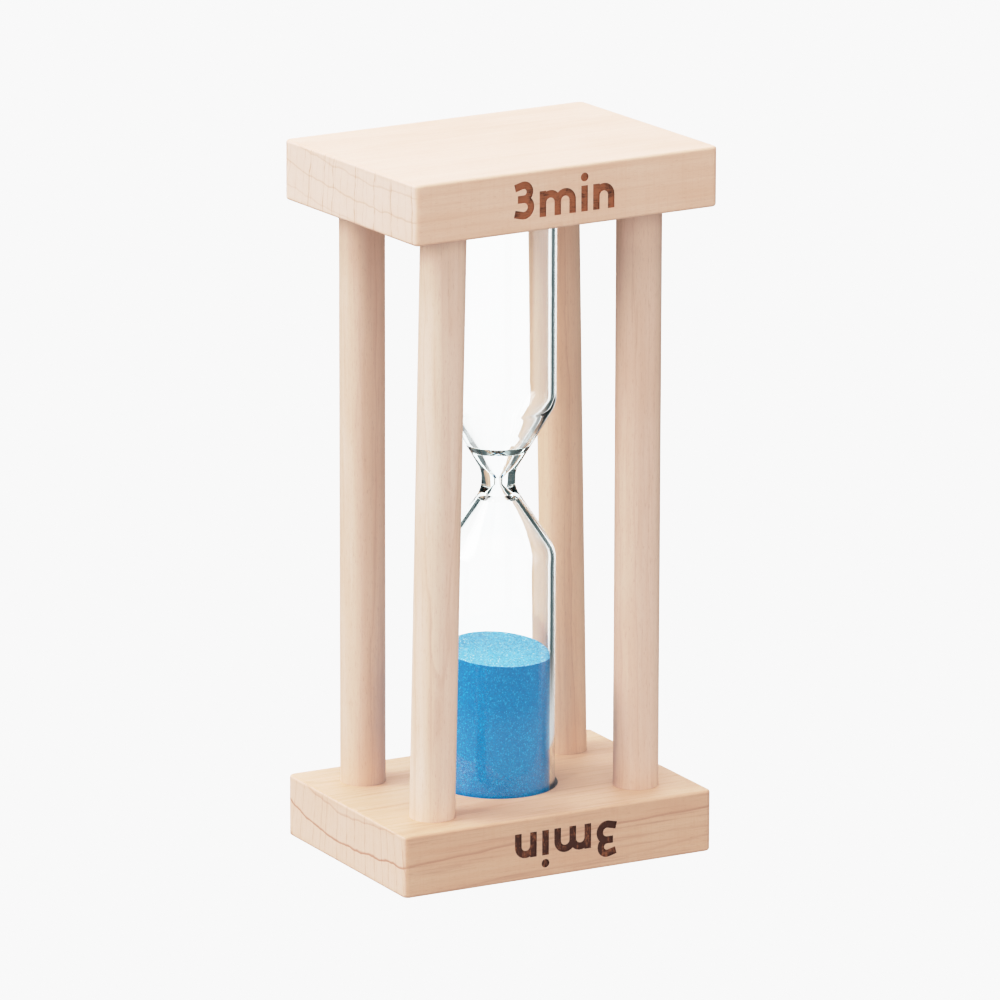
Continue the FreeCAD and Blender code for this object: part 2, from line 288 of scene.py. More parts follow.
def start_material(name):
    """Material with a Principled surface; returns it, its bench and the shader node."""
    material = bpy.data.materials.new(name)
    material.use_nodes = True
    bench = Bench(material.node_tree)
    shader = next(n for n in material.node_tree.nodes if n.type == "BSDF_PRINCIPLED")
    return material, bench, shader


def emboss(bench, shader, strength, distance, height):
    """Gives a surface fine relief from a height."""
    bump = bench.add("ShaderNodeBump",
                     {"Strength": strength, "Distance": distance, "Height": height})
    bench.feed(shader.inputs["Normal"], bump.outputs[0])


def place_in_mm(bench):
    """Place on the resting object, in millimetres."""
    coordinates = bench.add("ShaderNodeTexCoord").outputs["Object"]
    return bench.vector("MULTIPLY", coordinates, (1000.0, 1000.0, 1000.0))


def rgba(value):
    return (*value, 1.0)


# --- shared effects ---
def grain_group():
    """Solid timber with its fibres along X: growth rings about a heart line, rays on
    the end grain, fibres, pores and darker figure."""
    name = "Timber Grain"
    if name in bpy.data.node_groups:
        return bpy.data.node_groups[name]
    bench, inside, result = start_group(
        name,
        [("Place", VECTOR, (0.0, 0.0, 0.0)), ("Heart Y", FLOAT, 0.0), ("Heart Z", FLOAT, 100.0),
         ("Ring Spacing", FLOAT, 3.5), ("Ring Slope", FLOAT, 0.0), ("Ring Strength", FLOAT, 1.0),
         ("Ray Strength", FLOAT, 1.0), ("Figure", FLOAT, 0.0), ("Pale", COLOUR, WHITE),
         ("Tan", COLOUR, WHITE), ("Line", COLOUR, WHITE), ("End", COLOUR, WHITE),
         ("End Grain", FLOAT, 0.0)],
        [("Color", COLOUR), ("Height", FLOAT), ("Roughness", FLOAT)])
    place = inside["Place"]
    x, y, z = bench.split(place)[:3]
    across = bench.math("SUBTRACT", y, inside["Heart Y"])
    down = bench.math("SUBTRACT", inside["Heart Z"], z)

    drift = bench.math("SUBTRACT", bench.noise(place, (0.012, 0.035, 0.035)), 0.5)
    ripple = bench.math("SUBTRACT", bench.noise(place, (0.07, 0.25, 0.25)), 0.5)
    reach = bench.math("SQRT", bench.math("ADD", bench.math("MULTIPLY", across, across),
                                          bench.math("MULTIPLY", down, down)))
    reach = bench.math("MULTIPLY_ADD", drift, 3.0, reach)
    reach = bench.math("MULTIPLY_ADD", ripple, 1.5, reach)
    reach = bench.math("MULTIPLY_ADD", x, inside["Ring Slope"], reach)
    turns = bench.math("DIVIDE", reach, inside["Ring Spacing"])
    within = bench.math("FRACT", turns)
    each = bench.add("ShaderNodeTexWhiteNoise", {"W": bench.math("FLOOR", turns)},
                     noise_dimensions="1D").outputs["Value"]
    loud = bench.math("MULTIPLY_ADD", each, 0.6, 0.4)
    rise = bench.ramp(within, 0.88, 0.96)
    fall = bench.ramp(within, 0.97, 1.0, 1.0, 0.0)
    ring_line = bench.math("MULTIPLY", bench.math("MULTIPLY", rise, fall), loud)
    ring_line = bench.math("MULTIPLY", ring_line, inside["Ring Strength"])
    late = bench.math("MULTIPLY", bench.ramp(within, 0.30, 0.98), loud)

    fibre = bench.noise(place, (0.22, 6.0, 6.0), 3.0, 0.6)
    streak = bench.noise(place, (0.022, 0.9, 0.9), 3.0, 0.55)
    mottle = bench.noise(place, (0.05, 0.12, 0.12), 2.0)
    pores = bench.ramp(bench.noise(place, (0.7, 7.0, 7.0), 1.0), 0.62, 0.72)

    tan_share = bench.math("MULTIPLY_ADD", bench.ramp(streak, 0.30, 0.75), 0.34, 0.02)
    tan_share = bench.math("MULTIPLY_ADD", late, 0.16, tan_share)
    tan_share = bench.math("MULTIPLY_ADD", bench.ramp(mottle, 0.35, 0.7), 0.30, tan_share)
    side = bench.blend(tan_share, inside["Pale"], inside["Tan"])
    side = bench.blend(bench.math("MULTIPLY", ring_line, 0.55), side, inside["Line"])
    side = bench.blend(bench.math("MULTIPLY", bench.ramp(fibre, 0.45, 0.75), 0.20), side, inside["Tan"])
    side = bench.blend(bench.math("MULTIPLY", pores, 0.22), side, inside["Line"])
    wisps = bench.ramp(bench.noise(place, (0.045, 1.9, 1.9), 4.0, 0.65), 0.50, 0.72)
    wisps = bench.math("MULTIPLY", wisps, inside["Figure"])
    side = bench.blend(wisps, side, inside["Line"])
    flecks = bench.ramp(bench.noise(place, (1.1, 3.6, 3.6), 2.0), 0.52, 0.68)
    side = bench.blend(bench.math("MULTIPLY", flecks, 0.2), side, inside["Tan"])

    fan = bench.math("MULTIPLY", bench.math("DIVIDE", across, down), 100.0)
    fan = bench.math("MULTIPLY_ADD", ripple, 0.8, fan)
    sawn = bench.noise(place, (0.0, 0.5, 0.5))
    wide_rays = ray_lines(bench, fan, 2.9, 0.035)
    fine_rays = ray_lines(bench, fan, 1.15, 0.05)
    rays = bench.math("MULTIPLY", wide_rays, bench.ramp(sawn, 0.35, 0.6, 0.35, 1.0))
    rays = bench.math("MULTIPLY_ADD", fine_rays, bench.ramp(sawn, 0.4, 0.65, 0.2, 0.6), rays)
    rays = bench.math("MULTIPLY", rays, inside["Ray Strength"])
    end = bench.blend(bench.math("MULTIPLY", tan_share, 0.35), inside["End"], inside["Tan"])
    end = bench.blend(bench.math("MULTIPLY", rays, 0.55), end, inside["Line"])
    end = bench.blend(bench.math("MULTIPLY", ring_line, 0.62), end, inside["Line"])
    dots = bench.ramp(bench.noise(place, (0.0, 9.0, 9.0), 1.0), 0.55, 0.75)
    end = bench.blend(bench.math("MULTIPLY", dots, 0.16), end, inside["Line"])

    bench.feed(result.inputs["Color"], bench.blend(inside["End Grain"], side, end))
    relief = bench.math("MULTIPLY_ADD", fibre, 0.5, bench.math("MULTIPLY", pores, -0.7))
    relief = bench.math("MULTIPLY_ADD", ring_line, -0.5, relief)
    bench.feed(result.inputs["Height"], relief)
    bench.feed(result.inputs["Roughness"], bench.math("MULTIPLY_ADD", fibre, 0.18, 0.52))
    return bench.tree


def ray_lines(bench, along, spacing, width):
    """Thin lines at uneven steps along a value."""
    cells = bench.add("ShaderNodeTexVoronoi",
                      {"W": bench.math("DIVIDE", along, spacing), "Scale": 1.0},
                      voronoi_dimensions="1D", feature="DISTANCE_TO_EDGE")
    return bench.ramp(cells.outputs["Distance"], width * 0.3, width, 1.0, 0.0)


def edge_group():
    """How near a place on a block is to one of its edges, for rubbed and toned edges."""
    name = "Rubbed Edge"
    if name in bpy.data.node_groups:
        return bpy.data.node_groups[name]
    bench, inside, result = start_group(
        name, [("Place", VECTOR, (0.0, 0.0, 0.0)), ("Half Size", VECTOR, (1.0, 1.0, 1.0)),
               ("Width", FLOAT, 1.0)], [("Mask", FLOAT)])
    gap = bench.vector("SUBTRACT", bench.vector("ABSOLUTE", inside["Place"]), inside["Half Size"])
    a, b, c = bench.split(gap)[:3]
    pairs = [bench.math("MINIMUM", a, b), bench.math("MINIMUM", b, c), bench.math("MINIMUM", a, c)]
    nearest = bench.math("MAXIMUM", bench.math("MAXIMUM", pairs[0], pairs[1]), pairs[2])
    uneven = bench.noise(inside["Place"], (0.3, 0.3, 0.3), 3.0)
    shift = bench.math("MULTIPLY", bench.math("SUBTRACT", uneven, 0.5), inside["Width"])
    distance = bench.math("ADD", nearest, shift)
    low = bench.math("MULTIPLY", inside["Width"], -1.0)
    bench.feed(result.inputs["Mask"], bench.ramp(distance, low, 0.0))
    return bench.tree


def burn_group():
    """The burnt mark: where the face lies below its plane, and the scorched colour."""
    name = "Burnt Mark"
    if name in bpy.data.node_groups:
        return bpy.data.node_groups[name]
    bench, inside, result = start_group(
        name, [("Place", VECTOR, (0.0, 0.0, 0.0)), ("Face Y", FLOAT, -22.0),
               ("Scorch", COLOUR, WHITE), ("Toast", COLOUR, WHITE), ("Toasting", FLOAT, 0.5),
               ("Passes", VECTOR, (1.0, 1.0, 1.0))],
        [("Mask", FLOAT), ("Color", COLOUR)])
    x, y, z = bench.split(inside["Place"])[:3]
    half_length, half_height = 14.0, 3.9
    shallow, deep = 0.03, 0.32
    depth = bench.math("SUBTRACT", y, inside["Face Y"])
    below = bench.math("MULTIPLY", bench.math("GREATER_THAN", depth, shallow),
                       bench.math("LESS_THAN", depth, deep))
    field = bench.math("MULTIPLY", bench.math("LESS_THAN", bench.math("ABSOLUTE", x), half_length),
                       bench.math("LESS_THAN", bench.math("ABSOLUTE", z), half_height))
    bench.feed(result.inputs["Mask"], bench.math("MULTIPLY", below, field))
    patches = bench.noise(inside["Place"], (0.45, 0.45, 0.45), 3.0, 0.6)
    passes = bench.noise(inside["Place"], inside["Passes"], 2.0, 0.6)
    specks = bench.noise(inside["Place"], (4.0, 4.0, 4.0), 2.0)
    toasted = bench.math("MULTIPLY_ADD", patches, 1.2, bench.math("MULTIPLY", passes, 0.9))
    toasted = bench.math("MULTIPLY_ADD", specks, 0.4, toasted)
    low = bench.math("SUBTRACT", 1.55, inside["Toasting"])
    toasted = bench.ramp(toasted, low, bench.math("ADD", low, 0.5))
    bench.feed(result.inputs["Color"], bench.blend(toasted, inside["Scorch"], inside["Toast"]))
    return bench.tree


# --- materials ---
def sand_timber(bench, shader, height):
    """Sanded, unvarnished surface of the plates and the posts."""
    emboss(bench, shader, 0.35, 0.06 * MM, height)
    shader.inputs["Specular IOR Level"].default_value = 0.3


def plate_timber(name, timber, middle_z, turn, heart, spacing, slope, offset, figure, painted_shade,
                 end_painted_shade, side_rings, end_rings, toasting, passes):
    """Timber of one plate: solid grain, sanded end grain, toned edges, burnt mark and painted shade
    multiplied over its colour.
    """
    material, bench, shader = start_material(name)
    place = bench.vector("SUBTRACT", place_in_mm(bench), (0.0, 0.0, middle_z / MM))
    turned = bench.add("ShaderNodeVectorRotate", {"Vector": place, "Angle": -turn},
                       rotation_type="Z_AXIS").outputs[0]
    normal = bench.add("ShaderNodeTexCoord").outputs["Normal"]
    end_grain = bench.ramp(bench.math("ABSOLUTE", bench.split(normal)[0]), 0.55, 0.85)
    grown = bench.vector("ADD", turned, offset)
    grain = bench.group(grain_group(), Place=grown, Heart_Y=heart[0], Heart_Z=heart[1],
                        Ring_Spacing=spacing, Ring_Slope=slope, Figure=figure,
                        Ring_Strength=bench.ramp(end_grain, 0.0, 1.0, side_rings, end_rings),
                        Pale=rgba(timber.pale),
                        Tan=rgba(timber.tan), Line=rgba(timber.line), End=rgba(timber.end),
                        End_Grain=end_grain)
    half = (HALF_LENGTH / MM, HALF_WIDTH / MM, (PLATE_HIGH.z - PLATE_LOW.z) / MM / 2)
    edge = bench.group(edge_group(), Place=turned, Half_Size=half, Width=1.4)["Mask"]
    toned = bench.blend(bench.math("MULTIPLY", edge, 0.30), grain["Color"], rgba(timber.tan))
    facing_front = bench.math("ABSOLUTE", bench.split(normal)[1])
    hatch = bench.ramp(bench.noise(turned, (3.2, 0.3, 0.08)), 0.5, 0.7)
    hatch = bench.math("MULTIPLY", hatch, bench.math("MULTIPLY", facing_front, 0.22))
    toned = bench.blend(hatch, toned, rgba(timber.tan))
    # Painted shade: the colour is multiplied by the plate's shade tone, one for its sides and one for
    # its end grain.
    tone = bench.blend(end_grain, rgba(painted_shade), rgba(end_painted_shade))
    toned = bench.blend(1.0, toned, tone, "MULTIPLY")
    burn = bench.group(burn_group(), Place=turned, Face_Y=-HALF_WIDTH / MM,
                       Scorch=rgba(timber.scorch), Toast=rgba(timber.toast), Toasting=toasting,
                       Passes=passes)
    bench.feed(shader.inputs["Base Color"], bench.blend(burn["Mask"], toned, burn["Color"]))
    bench.feed(shader.inputs["Roughness"],
               bench.math("MULTIPLY_ADD", burn["Mask"], 0.15, grain["Roughness"]))
    sand_timber(bench, shader, grain["Height"])
    return material


def post_timber(name, timber, low, heart, offset, painted_shade):
    """Timber of one dowel post, with its fibres along the post and painted shade multiplied over its
    colour.
    """
    material, bench, shader = start_material(name)
    place = bench.vector("SUBTRACT", place_in_mm(bench), tuple(low / MM))
    x, y, z = bench.split(place)[:3]
    along = bench.vector("ADD", bench.join(z, x, y), offset)
    grain = bench.group(grain_group(), Place=along, Heart_Y=heart[0], Heart_Z=heart[1],
                        Ring_Spacing=2.6, Ring_Slope=0.012, Ring_Strength=0.30, Figure=0.16,
                        Pale=rgba(timber.dowel_pale), Tan=rgba(timber.dowel_tan),
                        Line=rgba(timber.line), End=rgba(timber.end))
    # Painted shade: the colour is multiplied by the post's own shade tone.
    toned = bench.blend(1.0, grain["Color"], rgba(painted_shade), "MULTIPLY")
    bench.feed(shader.inputs["Base Color"], toned)
    bench.feed(shader.inputs["Roughness"], grain["Roughness"])
    sand_timber(bench, shader, grain["Height"])
    return material


def clear_glass(glass):
    """Clear blown glass with a faint blue-green tint through its thickness."""
    material, bench, shader = start_material("clear_glass")
    shader.inputs["Base Color"].default_value = WHITE
    shader.inputs["Transmission Weight"].default_value = 1.0
    shader.inputs["Roughness"].default_value = 0.0
    shader.inputs["IOR"].default_value = 1.51
    absorb = bench.add("ShaderNodeVolumeAbsorption",
                       {"Color": rgba(glass.tint), "Density": glass.tint_density})
    output = next(n for n in material.node_tree.nodes if n.type == "OUTPUT_MATERIAL")
    bench.feed(output.inputs["Volume"], absorb.outputs[0])
    return material


def dyed_sand(sand):
    """Dyed quartz sand: each grain has its own shade and gloss; glints are painted on some grains and
    the upward surface is painted paler as light from above.
    """
    material, bench, shader = start_material("blue_sand")
    place = place_in_mm(bench)
    cells = bench.add("ShaderNodeTexVoronoi", {"Vector": place, "Scale": MM / sand.grain},
                      voronoi_dimensions="3D", feature="F1")
    shade, gloss, chance = bench.split(cells.outputs["Color"])[:3]
    shader.inputs["Specular IOR Level"].default_value = 0.0
    patches = bench.noise(place, (0.5, 0.5, 0.5), 3.0)
    bright_share = bench.math("MULTIPLY_ADD", shade, 0.6, bench.math("MULTIPLY", patches, 0.2))
    tone = bench.blend(bright_share, rgba(sand.dye), rgba(sand.bright))
    facing = bench.split(bench.add("ShaderNodeTexCoord").outputs["Normal"])[2]
    # Painted light: sand facing up is painted paler, standing in for the light falling on its top.
    lit_top_dim = rgba(Vector(sand.lit_top) * 0.6)
    lit_top = bench.blend(bench.ramp(shade, 0.1, 0.9), lit_top_dim, rgba(sand.lit_top))
    tone = bench.blend(bench.ramp(facing, 0.3, 0.9, 0.0, 0.9), tone, lit_top)
    # Painted glints: some grains take on a glint colour, near white where they face up.
    painted_glint = bench.blend(facing, rgba(sand.painted_glint), (0.75, 0.95, 1.0, 1.0))
    tone = bench.blend(bench.ramp(chance, 0.78, 1.0, 0.0, 0.7), tone, painted_glint)
    bench.feed(shader.inputs["Base Color"], tone)
    bench.feed(shader.inputs["Roughness"], bench.math("MULTIPLY_ADD", gloss, 0.5, 0.35))
    domes = bench.math("SUBTRACT", 1.0, cells.outputs["Distance"])
    emboss(bench, shader, 0.6, sand.grain * 0.5, domes)
    return material


def foam_skin():
    """Closed-cell foam of the two socket pads."""
    material, bench, shader = start_material("pad_foam")
    place = place_in_mm(bench)
    cells = bench.add("ShaderNodeTexVoronoi", {"Vector": place, "Scale": 4.0}, feature="F1")
    tone = bench.blend(bench.ramp(cells.outputs["Distance"], 0.2, 0.8),
                       (0.74, 0.74, 0.70, 1.0), (0.52, 0.52, 0.50, 1.0))
    bench.feed(shader.inputs["Base Color"], tone)
    shader.inputs["Roughness"].default_value = 0.9
    emboss(bench, shader, 0.5, 0.1 * MM, cells.outputs["Distance"])
    return material


def bung_rubber():
    """Matt off-white rubber of the filling bung."""
    material, bench, shader = start_material("bung_rubber")
    place = place_in_mm(bench)
    bloom = bench.noise(place, (0.6, 0.6, 0.6), 4.0)
    tone = bench.blend(bloom, (0.62, 0.60, 0.56, 1.0), (0.78, 0.76, 0.72, 1.0))
    bench.feed(shader.inputs["Base Color"], tone)
    bench.feed(shader.inputs["Roughness"], bench.math("MULTIPLY_ADD", bloom, 0.2, 0.5))
    emboss(bench, shader, 0.3, 0.05 * MM, bench.noise(place, (6.0, 6.0, 6.0), 2.0))
    return material


# --- mesh work ---
def add_object(name, data):
    """Puts an object with this data into the scene."""
    thing = bpy.data.objects.new(name, data)
    bpy.context.scene.collection.objects.link(thing)
    return thing


def rounded_profile(corners, arc_step, line_step):
    """Points through (radius, height, rounding) corners, with each inner corner rounded
    by a tangent arc and the straight stretches divided into short steps."""
    points = [Vector((r, z)) for r, z, _ in corners]
    path = [points[0]]

    def draw_line(target):
        start = path[-1].copy()
        count = max(1, math.ceil((target - start).length / line_step))
        for index in range(1, count + 1):
            path.append(start.lerp(target, index / count))

    for before, corner, after, spec in zip(points, points[1:], points[2:], corners[1:]):
        rounding = spec[2]
        to_before = (before - corner).normalized()
        to_after = (after - corner).normalized()
        half = to_before.angle(to_after) / 2
        draw_line(corner + to_before * rounding / math.tan(half))
        if rounding:
            centre = corner + (to_before + to_after).normalized() * rounding / math.sin(half)
            first = path[-1] - centre
            last = corner + to_after * rounding / math.tan(half) - centre
            sweep = first.angle_signed(last)
            count = max(2, math.ceil(abs(sweep) / arc_step))
            for index in range(1, count + 1):
                turn = Matrix.Rotation(-sweep * index / count, 2)
                path.append(centre + turn @ first)
    draw_line(points[-1])
    return path


def skin_loops(name, loops, segments):
    """Closed piece through loops of points, where a loop of one point is a pole."""
    mesh = bmesh.new()
    rings = [[mesh.verts.new(point) for point in loop] for loop in loops]
    for lower, upper in zip(rings, rings[1:]):
        for i in range(segments):
            j = (i + 1) % segments
            corners = [lower[i % len(lower)], lower[j % len(lower)],
                       upper[j % len(upper)], upper[i % len(upper)]]
            unique = list(dict.fromkeys(corners))
            if len(unique) > 2:
                mesh.faces.new(unique)
    bmesh.ops.recalc_face_normals(mesh, faces=mesh.faces)
    data = bpy.data.meshes.new(name)
    mesh.to_mesh(data)
    mesh.free()
    data.shade_smooth()
    return add_object(name, data)


def turned_piece(name, profile, segments, place_point):
    """Closed piece of a profile turned about Z. The profile starts and ends on the axis;
    place_point(radius, angle, height) gives each point its place."""
    loops = []
    for radius, height in profile:
        steps = segments if radius > 1e-7 else 1
        loops.append([place_point(radius, 2 * math.pi * i / segments, height) for i in range(steps)])
    return skin_loops(name, loops, segments)


def around(radius, turn, height):
    """A place on a piece turned about the glass's axis."""
    return (GLASS_AXIS.x + radius * math.cos(turn), GLASS_AXIS.y + radius * math.sin(turn), height)


def finish_piece(piece, material, body, slot, *nodes):
    """Gives a piece its material, hangs it on the body it rides on and hides the frame parts it stands
    in for.
    """
    piece.data.materials.append(material)
    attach(piece, body)
    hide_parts(*nodes)


def turned_post(name, low, high, radius):
    """A dowel with chamfered ends and the slight unevenness of sanding."""
    axis = high - low
    chamfer = 0.4 * MM
    profile = rounded_profile([(0.0, 0.0, 0.0), (radius - chamfer, 0.0, 0.0),
                               (radius, chamfer, 0.0), (radius, axis.length - chamfer, 0.0),
                               (radius - chamfer, axis.length, 0.0), (0.0, axis.length, 0.0)],
                              0.1, 1.5 * MM)
    frame_of_axis = axis.to_track_quat("Z", "Y").to_matrix()
    sanding = 0.03 * MM

    def sanded(r, turn, height):
        if r > 0.9 * radius:
            spot = Vector((math.cos(turn), math.sin(turn), height / (14 * MM))) + low / MM
            r -= sanding * (0.5 + 0.5 * noise.noise(spot * 1.3))
        return low + frame_of_axis @ Vector((r * math.cos(turn), r * math.sin(turn), height))

    return turned_piece(name, profile, 96, sanded)


def glass_profile(glass):
    """Outline of the glass from the middle of its closed end, up the outside, over the
    rim and back down the inside."""
    radius = GLASS_RADIUS
    bore = radius - glass.wall
    low, high = GLASS_LOW.z, GLASS_HIGH.z
    shift = glass.wall / 2
    corners = [
        (0.0, low, 0.0),
        (radius, low, glass.end_round),
        (radius, glass.shoulder_low, glass.shoulder_round),
        (glass.neck_radius, glass.neck_low, glass.neck_round),
        (glass.neck_radius, glass.neck_high, glass.neck_round),
        (radius, glass.shoulder_high, glass.shoulder_round),
        (radius, high, glass.wall * 0.3),
        (bore, high, glass.wall * 0.3),
        (bore, glass.shoulder_high + shift, glass.shoulder_round - glass.wall),
        (glass.floor_radius, glass.floor, glass.floor_round),
        (glass.throat_radius, glass.throat, glass.throat_round),
        (glass.funnel_radius, glass.funnel, glass.funnel_round),
        (glass.orifice, glass.orifice_high, glass.orifice),
        (glass.orifice, glass.orifice_low, glass.orifice),
        (glass.outlet_radius, glass.outlet, glass.head_round),
        (glass.head_radius, glass.head, glass.head_round),
        (bore, glass.shoulder_low - shift, glass.shoulder_round - glass.wall),
        (bore, low + glass.wall, glass.end_round - glass.wall),
        (0.0, low + glass.wall, 0.0),
    ]
    return rounded_profile(corners, math.radians(5), 0.8 * MM)


def blown_glass(glass):
    """The glass with the slight waviness of blown work, strongest at the neck."""
    neck = (glass.neck_low + glass.neck_high) / 2

    def blown(r, turn, height):
        near_neck = math.exp(-((height - neck) / (4.5 * MM)) ** 2)
        spot = Vector((math.cos(turn), math.sin(turn), height / (3.5 * MM)))
        wave = 0.5 + 0.5 * noise.noise(spot * 1.4 + Vector((r * 900, 3.0, 0.0)))
        inward = (0.008 + 0.11 * near_neck) * MM * wave * min(1.0, r / (1.5 * MM))
        return around(r - inward, turn, height)

    return turned_piece("glass", glass_profile(glass), 192, blown)


def sand_body(sand):
    """The settled sand: rounded foot, side against the glass and a sloping top, all of
    it made of small grains."""
    gap = 0.03 * MM
    radius = (SAND_HIGH.x - SAND_LOW.x) / 2 - gap
    low = SAND_LOW.z + gap
    foot = 2.1 * MM
    foot_steps, side_steps, top_steps = 8, 150, 64
    side_grain, top_grain = 0.05 * MM, 0.14 * MM
    segments = 400
    rise = math.tan(sand.slope)
    downhill = Vector((math.cos(sand.downhill), math.sin(sand.downhill)))

    def surface(x, y):
        return sand.level - rise * (x * downhill.x + y * downhill.y)

    def grains(x, y, z):
        return min(1.0, noise.voronoi(Vector((x, y, z)) / sand.grain)[0][0])

    def foot_place(share, turn):
        bend = math.pi / 2 * share
        r = radius - foot + foot * math.sin(bend)
        return around(r, turn, low + foot * (1 - math.cos(bend)))

    def side_place(share, turn):
        x, y = radius * math.cos(turn), radius * math.sin(turn)
        z = low + foot + (surface(x, y) - low - foot) * share
        return around(radius - side_grain * grains(x, y, z), turn, z)

    def top_place(share, turn):
        r = radius * share
        x, y = r * math.cos(turn), r * math.sin(turn)
        z = surface(x, y)
        return around(r, turn, z - top_grain * share * grains(x, y, z))

    rings = [(foot_place, k / foot_steps) for k in range(1, foot_steps + 1)]
    rings += [(side_place, k / side_steps) for k in range(1, side_steps + 1)]
    rings += [(top_place, k / top_steps) for k in range(top_steps - 1, 0, -1)]
    turns = [2 * math.pi * i / segments for i in range(segments)]
    loops = [[place(share, turn) for turn in turns] for place, share in rings]
    loops.insert(0, [around(0.0, 0.0, low)])
    loops.append([around(0.0, 0.0, surface(0.0, 0.0))])
    return skin_loops("settled_sand", loops, segments)


# --- operators ---
class TIMER_OT_plates(bpy.types.Operator):
    """Give the two plates their timber, toned edges and burnt marks"""
    bl_idname = "timer.plates"
    bl_label = "Finish Plates"

    def execute(self, context):
        timber = context.scene.sand_timer.timber
        # The bottom plate's shade tones darken it as painted shade for lying under the top plate, less
        # on its end grain; the top plate's are near white.
        boards = {
            "bottom_plate": dict(turn=0.0, heart=(-3.0, 107.5), spacing=5.5, slope=0.05,
                                 offset=(40.0, 0.0, 0.0), figure=0.34, painted_shade=(0.80, 0.74, 0.70),
                                 end_painted_shade=(0.90, 0.84, 0.82), side_rings=0.8, end_rings=1.3,
                                 toasting=0.35, passes=(2.6, 0.6, 0.9)),
            "top_plate": dict(turn=TWIST, heart=(-13.0, 190.0), spacing=4.2, slope=0.02,
                              offset=(-300.0, 0.0, 0.0), figure=0.10, painted_shade=(1.0, 0.985, 1.0),
                              end_painted_shade=(1.0, 0.98, 0.99), side_rings=0.12, end_rings=0.55,
                              toasting=0.7, passes=(0.5, 0.6, 3.4)),
        }
        for node, look in boards.items():
            low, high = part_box(node)
            material = plate_timber(node + "_timber", timber, (low.z + high.z) / 2, **look)
            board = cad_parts[node]
            board.data.materials.clear()
            board.data.materials.append(material)
        return {"FINISHED"}


class TIMER_OT_posts(bpy.types.Operator):
    """Make the four dowel posts"""
    bl_idname = "timer.posts"
    bl_label = "Make Posts"

    def execute(self, context):
        timber = context.scene.sand_timer.timber
        # Each post: heart of its growth rings, offset of its grain, and its shade tone, a painted shade
        # set to how that post is lit.
        looks = {
            "post_front_left": ((9.0, 30.0), (10.0, 3.0, 7.0), (1.0, 1.0, 1.0)),
            "post_front_right": ((-14.0, 26.0), (310.0, 40.0, 9.0), (0.93, 0.90, 0.89)),
            "post_rear_left": ((22.0, -18.0), (620.0, 80.0, 31.0), (0.94, 0.92, 0.91)),
            "post_rear_right": ((-8.0, -34.0), (930.0, 120.0, 52.0), (1.0, 0.94, 0.87)),
        }
        for node, (heart, offset, painted_shade) in looks.items():
            low, high = post_line(node)
            span_low, span_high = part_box(node)
            lean = max(abs(high.x - low.x), abs(high.y - low.y)) / (high - low).length
            radius = round((span_high.x - span_low.x - abs(high.x - low.x)) / 2 / MM, 1) * MM
            if not 0.0 < lean < 0.1:
                raise RuntimeError("the posts of the frame don't stand as expected")
            piece = turned_post(node.replace("post_", "dowel_"), low, high, radius)
            material = post_timber(node + "_timber", timber, low, heart, offset, painted_shade)
            finish_piece(piece, material, "frame", "dowel_wood", node)
        return {"FINISHED"}


class TIMER_OT_glass(bpy.types.Operator):
    """Make the blown glass"""
    bl_idname = "timer.glass"
    bl_label = "Make Glass"

    def execute(self, context):
        glass = context.scene.sand_timer.glass
        piece = blown_glass(glass)
        piece.visible_shadow = piece.visible_diffuse = False
        finish_piece(piece, clear_glass(glass), "glass", "clear_glass", "glass_vessel")
        return {"FINISHED"}


class TIMER_OT_sand(bpy.types.Operator):
    """Make the settled sand"""
    bl_idname = "timer.sand"
    bl_label = "Make Sand"

    def execute(self, context):
        sand = context.scene.sand_timer.sand
        finish_piece(sand_body(sand), dyed_sand(sand), "glass", "blue_sand", "sand")
        return {"FINISHED"}


class TIMER_OT_bung(bpy.types.Operator):
    """Make the bung that closes the glass"""
    bl_idname = "timer.bung"
    bl_label = "Make Bung"

    def execute(self, context):
        glass = context.scene.sand_timer.glass
        low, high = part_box("filling_bung")
        rim = (high.x - low.x) / 2
        plug = rim - glass.wall
        step = GLASS_HIGH.z
        soft = 0.3 * MM
        profile = rounded_profile([(0.0, low.z, 0.0), (plug, low.z, soft), (plug, step, 0.0),
                                   (rim, step, 0.0), (rim, high.z, soft), (rim * 0.45, high.z, soft),
                                   (rim * 0.4, high.z - soft, soft), (0.0, high.z - soft, 0.0)],
                                  math.radians(15), 1.0 * MM)
        piece = turned_piece("bung", profile, 96, around)
        finish_piece(piece, bung_rubber(), "glass", "bung_rubber", "filling_bung")
        return {"FINISHED"}


class TIMER_OT_pads(bpy.types.Operator):
    """Make the two foam pads in the sockets"""
    bl_idname = "timer.pads"
    bl_label = "Make Pads"

    def execute(self, context):
        material = foam_skin()
        for node in ("lower_pad", "upper_pad"):
            low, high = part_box(node)
            radius = (high.x - low.x) / 2
            soft, raggedness = 0.25 * MM, 0.05 * MM
            profile = rounded_profile([(0.0, low.z, 0.0), (radius, low.z, soft),
                                       (radius, high.z, soft), (0.0, high.z, 0.0)],
                                      math.radians(15), 0.8 * MM)

            def cut(r, turn, height):
                ragged = noise.noise(Vector((math.cos(turn) * 3, math.sin(turn) * 3, height / MM)))
                return around(r - raggedness * (1 + ragged) * (r / radius), turn, height)

            piece = turned_piece(node.replace("_pad", "_foam"), profile, 128, cut)
            finish_piece(piece, material, "frame", "foam", node)
        return {"FINISHED"}


class TIMER_OT_stage(bpy.types.Operator):
    """Set up the floor, the backdrop, the lights and the camera"""
    bl_idname = "timer.stage"
    bl_label = "Set Stage"

    def execute(self, context):
        stage = context.scene.sand_timer.stage
        set_colour_management(context.scene)
        make_floor(stage)
        make_world(context.scene, stage)
        make_lights(stage)
        make_camera(context.scene, stage)
        return {"FINISHED"}


